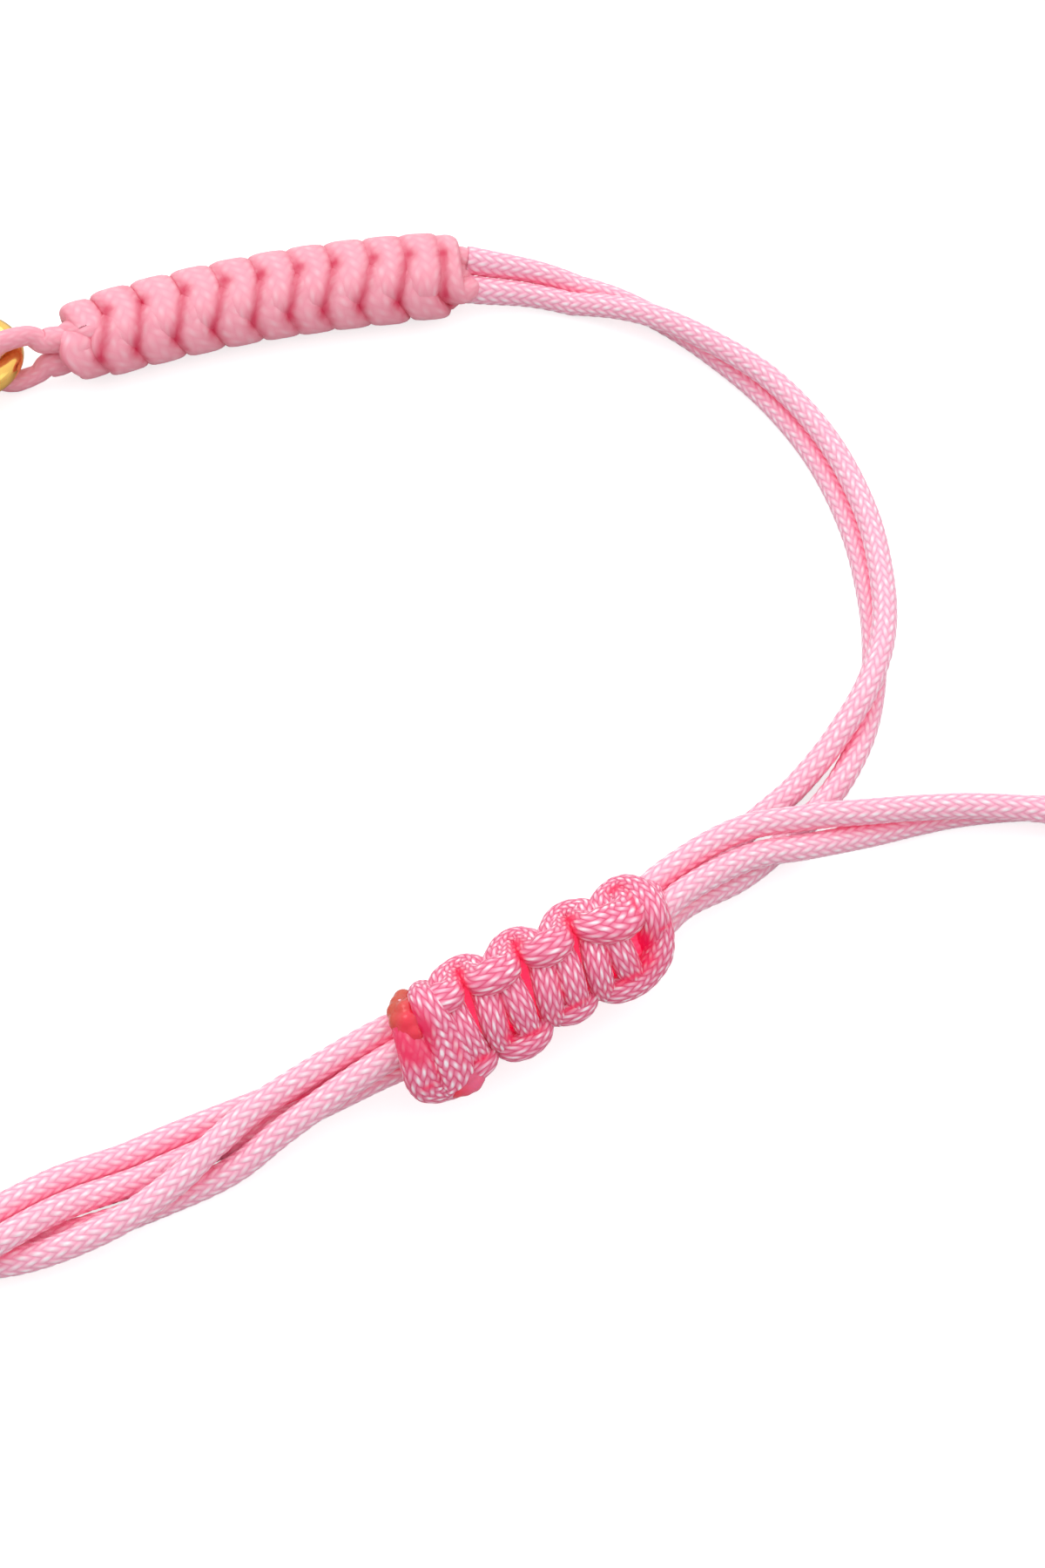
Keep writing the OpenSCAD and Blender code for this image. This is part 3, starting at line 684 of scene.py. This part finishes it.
def braid_group():
    """Height of the yarns, the fine filaments along them and a painted glint on each, from the cord's own
    UV map.
    """
    tree = bpy.data.node_groups.new("braid", "ShaderNodeTree")
    tree.interface.new_socket("Weave", in_out="INPUT", socket_type="NodeSocketVector")
    tree.interface.new_socket("Yarns", in_out="INPUT", socket_type="NodeSocketFloat")
    tree.interface.new_socket("Height", in_out="OUTPUT", socket_type="NodeSocketFloat")
    tree.interface.new_socket("Painted glint", in_out="OUTPUT", socket_type="NodeSocketFloat")
    tree.interface.new_socket("Filaments", in_out="OUTPUT", socket_type="NodeSocketFloat")
    put_in, put_out = tree.nodes.new("NodeGroupInput"), tree.nodes.new("NodeGroupOutput")
    split = tree.nodes.new("ShaderNodeSeparateXYZ")
    tree.links.new(put_in.outputs[0], split.inputs[0])
    along, around = split.outputs[0], split.outputs[1]
    yarns = put_in.outputs[1]
    u = calc(tree, "MULTIPLY", calc(tree, "ADD", around, along), yarns)
    v = calc(tree, "MULTIPLY", calc(tree, "SUBTRACT", around, along), yarns)
    row = calc(tree, "ADD", calc(tree, "FLOOR", u), calc(tree, "FLOOR", v))
    k = calc(tree, "FLOORED_MODULO", row, 4)
    one_way = calc(tree, "LESS_THAN", k, 1.5)
    fu, fv = calc(tree, "FRACT", u), calc(tree, "FRACT", v)

    def pick(first, second):
        gap = calc(tree, "SUBTRACT", first, second)
        return calc(tree, "MULTIPLY_ADD", one_way, gap, second)

    across = pick(fu, fv)
    over = pick(calc(tree, "MULTIPLY", calc(tree, "ADD", k, fv), 0.5),
                calc(tree, "MULTIPLY", calc(tree, "ADD", calc(tree, "SUBTRACT", k, 2), fu), 0.5))
    lane = pick(calc(tree, "FLOOR", u), calc(tree, "FLOOR", v))
    dome = calc(tree, "POWER", calc(tree, "SINE", calc(tree, "MULTIPLY", across, math.pi)), 0.6)
    arch = calc(tree, "POWER", calc(tree, "SINE", calc(tree, "MULTIPLY", over, math.pi)), 0.7)
    height = calc(tree, "MULTIPLY", dome, calc(tree, "MULTIPLY_ADD", arch, 0.55, 0.45))
    tree.links.new(height, put_out.inputs["Height"])
    # Painted highlight: a white glint dash along the middle of each yarn, brighter on some yarns than
    # others
    leant = calc(tree, "MULTIPLY_ADD", calc(tree, "SUBTRACT", over, 0.5), 0.5, across)
    leant = calc(tree, "MINIMUM", calc(tree, "MAXIMUM", leant, 0.0), 1.0)
    ridge = calc(tree, "SINE", calc(tree, "MULTIPLY", leant, math.pi))
    dash = calc(tree, "MULTIPLY", calc(tree, "POWER", ridge, 1.4), calc(tree, "POWER", arch, 8.0))
    which = tree.nodes.new("ShaderNodeCombineXYZ")
    tree.links.new(lane, which.inputs[0])
    tree.links.new(calc(tree, "FLOOR", calc(tree, "DIVIDE", row, 4.0)), which.inputs[1])
    chance = tree.nodes.new("ShaderNodeTexWhiteNoise")
    tree.links.new(which.outputs[0], chance.inputs["Vector"])
    bright = calc(tree, "MULTIPLY_ADD", chance.outputs["Value"], 0.75, 0.25)
    tree.links.new(calc(tree, "MULTIPLY", dash, bright), put_out.inputs["Painted glint"])
    join = tree.nodes.new("ShaderNodeCombineXYZ")
    tree.links.new(calc(tree, "MULTIPLY", across, 6.0), join.inputs[0])
    tree.links.new(calc(tree, "MULTIPLY", over, 1.3), join.inputs[1])
    tree.links.new(calc(tree, "MULTIPLY_ADD", lane, 7.3, row), join.inputs[2])
    tree.links.new(noise(tree, join.outputs[0], 1.6, 1.0), put_out.inputs["Filaments"])
    return tree


def new_material(name):
    material = bpy.data.materials.new(name)
    material.use_nodes = True
    tree = material.node_tree
    return material, tree, tree.nodes["Principled BSDF"]


def bump(tree, shader, height, distance, strength):
    node = tree.nodes.new("ShaderNodeBump")
    node.inputs["Distance"].default_value = distance
    node.inputs["Strength"].default_value = strength
    tree.links.new(height, node.inputs["Height"])
    tree.links.new(node.outputs[0], shader.inputs["Normal"])


def cord_material(group, name, pale, groove, shade_colour, glow, yarns=YARNS, weave_depth=1.0, patchy=0.0):
    """Silky nylon: pale yarns with painted glints, painted shade in grooves, saturated painted shade
    between turns.

    glow is a painted glow given off in those shaded places, standing in for light through the nylon,
    weave_depth how much of the weave, its painted shade and glints show, and patchy how unevenly the glints
    shine.
    """
    material, tree, shader = new_material(name)
    weave = tree.nodes.new("ShaderNodeUVMap")
    weave.uv_map = "weave"
    braid = tree.nodes.new("ShaderNodeGroup")
    braid.node_tree = group
    tree.links.new(weave.outputs[0], braid.inputs["Weave"])
    braid.inputs["Yarns"].default_value = yarns
    height, filaments = braid.outputs["Height"], braid.outputs["Filaments"]
    place = tree.nodes.new("ShaderNodeTexCoord").outputs["Object"]
    dye = noise(tree, place, 700.0)
    crest = mixed(tree, dye, linear(*pale[0]), linear(*pale[1]))
    # Painted shade: the grooves between the yarns take the deeper groove colour
    low = mixed(tree, weave_depth, crest, linear(*groove))
    yarn = mixed(tree, calc(tree, "POWER", height, 1.3), low, crest)
    # Painted highlight: the glints, brighter along the filaments and in patches, mixed towards near white
    shine = calc(tree, "MULTIPLY_ADD", filaments, 0.7, 0.55)
    glint_patches = calc(tree, "MULTIPLY_ADD", noise(tree, place, 1300.0), 3.2 * patchy, 1.2 - 1.2 * patchy)
    shine = calc(tree, "MULTIPLY", shine, calc(tree, "MAXIMUM", glint_patches, 0.15))
    glint_amount = calc(tree, "MULTIPLY", calc(tree, "MULTIPLY", braid.outputs["Painted glint"], shine), weave_depth)
    with_glints = mixed(tree, calc(tree, "MINIMUM", glint_amount, 1.0), yarn, (1.0, 0.88, 0.93, 1))
    # Painted shade: a saturated colour by the deep attribute, deep in the knot, between strands and in
    # slits
    deep = tree.nodes.new("ShaderNodeAttribute")
    deep.attribute_name = "deep"
    colour = mixed(tree, deep.outputs["Fac"], with_glints, linear(*shade_colour))
    melt = tree.nodes.new("ShaderNodeAttribute")
    melt.attribute_name = "melt"
    cloudy = calc(tree, "MULTIPLY_ADD", noise(tree, place, 1500.0), 0.9, 0.45)
    run = calc(tree, "MINIMUM", calc(tree, "MULTIPLY", melt.outputs["Fac"], cloudy), 1.0)
    colour = mixed(tree, run, colour, linear(240, 36, 92))
    tree.links.new(colour, shader.inputs["Base Color"])
    # Painted glow: the cord gives off its glow colour where the painted shade is deepest, though it is no
    # lamp
    lit = calc(tree, "POWER", calc(tree, "MINIMUM", deep.outputs["Fac"], 0.82), 1.5)
    tree.links.new(mixed(tree, lit, (0, 0, 0, 1), linear(*glow)), shader.inputs["Emission Color"])
    shader.inputs["Emission Strength"].default_value = 1.0
    tree.links.new(calc(tree, "MULTIPLY_ADD", run, -0.22, 0.42), shader.inputs["Roughness"])
    shader.inputs["Sheen Weight"].default_value = 0.15
    shader.inputs["Sheen Roughness"].default_value = 0.4
    woven = calc(tree, "MULTIPLY_ADD", filaments, 0.35, height)
    relief = calc(tree, "MULTIPLY", woven, calc(tree, "SUBTRACT", 1.0, run))
    bump(tree, shader, relief, 0.00004 * weave_depth, 0.5)
    return material


def melted_material():
    """Nylon melted into a glossy lump: orange at its rim, red, and pink where it runs into the cord."""
    material, tree, shader = new_material("melted cord")
    place = tree.nodes.new("ShaderNodeTexCoord").outputs["Object"]
    split = tree.nodes.new("ShaderNodeSeparateXYZ")
    tree.links.new(place, split.inputs[0])
    left_end = knot_place([(0.1, 0, 0)])[0] * MM

    def measured(way):
        """Distance in metres from the knot's left end, along a level direction."""
        parts = [calc(tree, "MULTIPLY", calc(tree, "SUBTRACT", split.outputs[k], float(left_end[k])),
                      float(way[k])) for k in (0, 1)]
        return calc(tree, "ADD", *parts)

    along, far = measured(KNOT_WAY), measured(KNOT_FAR)
    cloudy = calc(tree, "SUBTRACT", noise(tree, place, 1400.0), 0.4)
    edge = calc(tree, "ADD", calc(tree, "MULTIPLY", along, 900.0), calc(tree, "MULTIPLY", far, -1100.0))
    ends = []
    for blend in (calc(tree, "ADD", edge, cloudy), calc(tree, "MULTIPLY_ADD", along, 1500.0, -1.2)):
        clamp = tree.nodes.new("ShaderNodeClamp")
        tree.links.new(blend, clamp.inputs[0])
        ends.append(clamp.outputs[0])
    colour = mixed(tree, ends[0], linear(206, 72, 44), linear(240, 30, 66))
    colour = mixed(tree, ends[1], colour, linear(240, 92, 132))
    tree.links.new(colour, shader.inputs["Base Color"])
    shader.inputs["Roughness"].default_value = 0.24
    shader.inputs["Coat Weight"].default_value = 0.5
    shader.inputs["Subsurface Weight"].default_value = 0.35
    shader.inputs["Subsurface Radius"].default_value = (1.0, 0.3, 0.2)
    shader.inputs["Subsurface Scale"].default_value = 0.0006
    bump(tree, shader, noise(tree, place, 3800.0, 3.0), 0.00004, 0.5)
    return material


def gold_material():
    """Polished gold plating with the finest of scuffs."""
    material, tree, shader = new_material("gold plated wire")
    place = tree.nodes.new("ShaderNodeTexCoord").outputs["Object"]
    wear = noise(tree, place, 2500.0, 4.0)
    colour = mixed(tree, wear, linear(238, 186, 96), linear(255, 208, 116))
    tree.links.new(colour, shader.inputs["Base Color"])
    shader.inputs["Metallic"].default_value = 1.0
    tree.links.new(calc(tree, "MULTIPLY_ADD", wear, 0.14, 0.1), shader.inputs["Roughness"])
    bump(tree, shader, noise(tree, place, 6000.0, 2.0), 0.00001, 0.25)
    return material


def plain_floor():
    material, tree, shader = new_material("floor")
    shader.inputs["Base Color"].default_value = (0.58, 0.58, 0.58, 1)
    shader.inputs["Emission Color"].default_value = (1, 1, 1, 1)
    seen = tree.nodes.new("ShaderNodeLightPath").outputs["Is Camera Ray"]
    tree.links.new(calc(tree, "MULTIPLY", seen, 0.7), shader.inputs["Emission Strength"])
    shader.inputs["Roughness"].default_value = 0.9
    shader.inputs["Specular IOR Level"].default_value = 0.1
    bm = bmesh.new()
    bmesh.ops.create_grid(bm, x_segments=1, y_segments=1, size=1.5)
    mesh = bpy.data.meshes.new("floor")
    bm.to_mesh(mesh)
    bm.free()
    mesh.materials.append(material)
    floor = bpy.data.objects.new("floor", mesh)
    bpy.context.scene.collection.objects.link(floor)


def soft_light():
    """A studio that is bright above and behind the bracelet and darker on the viewer's side."""
    world = bpy.data.worlds.new("studio")
    bpy.context.scene.world = world
    world.use_nodes = True
    tree = world.node_tree
    split = tree.nodes.new("ShaderNodeSeparateXYZ")
    tree.links.new(tree.nodes.new("ShaderNodeTexCoord").outputs["Generated"], split.inputs[0])
    above = calc(tree, "MULTIPLY", split.outputs[2], 0.55)
    back = calc(tree, "MULTIPLY_ADD", split.outputs[1], 0.45, above)
    level = calc(tree, "MAXIMUM", calc(tree, "MULTIPLY_ADD", back, 0.58, 0.78), 0.4)
    tree.nodes["Background"].inputs["Color"].default_value = (1, 1, 1, 1)
    tree.links.new(level, tree.nodes["Background"].inputs["Strength"])
    for name, place, size, power in (("key", (-110, 120, 260), 160, 0.16),
                                     ("fill", (200, -60, 200), 160, 0.04)):
        data = bpy.data.lights.new(name, "AREA")
        data.size = size * MM
        data.energy = power
        lamp = bpy.data.objects.new(name, data)
        bpy.context.scene.collection.objects.link(lamp)
        lamp.location = Vector(place) * MM
        lamp.rotation_euler = (-lamp.location).to_track_quat("-Z", "Y").to_euler()
    bpy.context.scene.view_settings.view_transform = "Standard"


def make_bracelet():
    braid = braid_group()
    # Each cord: yarn colours, painted groove shade, painted shade deep between turns and the painted glow
    cord = cord_material(braid, "pink braided cord", ((254, 197, 215), (255, 211, 225)),
                         (252, 157, 190), (234, 36, 100), glow=(190, 60, 100), patchy=0.3)
    knotted = cord_material(braid, "pink cord knotted", ((247, 141, 175), (252, 168, 198)),
                            (228, 58, 112), (220, 0, 70), glow=(156, 0, 54), yarns=KNOT_YARNS, patchy=0.8)
    soft = cord_material(braid, "pink cord pulled tight", ((249, 160, 178), (253, 182, 195)),
                         (240, 84, 138), (206, 34, 78), glow=(62, 0, 10), weave_depth=0.2)
    outer, inner = two_strands(RIGHT_PAIR)
    far_outer, far_inner = two_strands(LEFT_PAIR)
    add_strand("outer_strand_right", outer, (inner, far_outer, far_inner), 0.0, "cord_right_outer", cord)
    add_strand("inner_strand_right", inner, (outer, far_outer, far_inner), 0.21, "cord_right_inner", cord)
    add_strand("outer_strand_left", far_outer, (far_inner, outer, inner), 0.43, "cord_left_outer", cord)
    add_strand("inner_strand_left", far_inner, (far_outer, outer, inner), 0.67, "cord_left_inner", cord)
    for side, (place, angle) in (("right", FOLD_RIGHT), ("left", FOLD_LEFT)):
        part = braided_cord(fold_route(place, angle), sides=48, step=0.08, phase=0.1, relief=0.03)
        add_piece("fold_" + side, [part], soft, "pink_cord", "ring_loop_" + side)
    add_band("snake_knots_right", BAND_RIGHT, 31, (outer, inner), "knotted_band_right", soft)
    add_band("snake_knots_left", BAND_LEFT, 0, (far_outer, far_inner), "knotted_band_left", soft)
    add_sliding_knot(knotted)
    add_sealed_end(melted_material())
    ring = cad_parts["ring"]
    ring.data.materials.clear()
    ring.data.materials.append(gold_material())


place_camera()
make_bracelet()
plain_floor()
soft_light()
